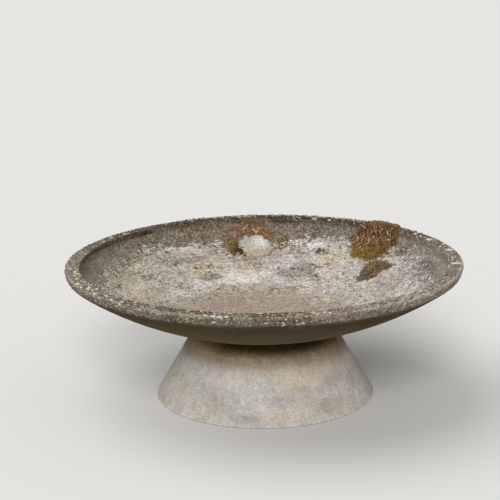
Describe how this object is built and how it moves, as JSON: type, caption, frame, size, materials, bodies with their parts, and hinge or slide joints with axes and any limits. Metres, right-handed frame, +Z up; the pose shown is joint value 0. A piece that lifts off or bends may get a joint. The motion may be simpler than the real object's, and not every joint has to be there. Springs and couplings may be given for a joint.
{
  "type": "bowl planter",
  "caption": "Wide shallow bowl planter with a thick rim and a central drain hole, resting loose on a hollow conical base that is open below.",
  "frame": {"origin": "middle of the base's foot, on the ground", "axes": "+Z up along the axis that the bowl and its base share; +X to the right and +Y away in the picture's view"},
  "size_m": [1.1, 1.1, 0.3837],
  "materials": {
    "pale_cement": "matte, fine-grained, lightly stained",
    "weathered_cement": "matte, coarse, weathered, with lime and lichen"
  },
  "bodies": {
    "base": {"base": "pale_cement"},
    "bowl": {"bowl": "weathered_cement"}
  },
  "joints": [
    {"name": "bowl_lift", "type": "slide", "parent": "base", "child": "bowl", "axis": [0, 0, 1], "range_m": [0, 0.12]}
  ]
}
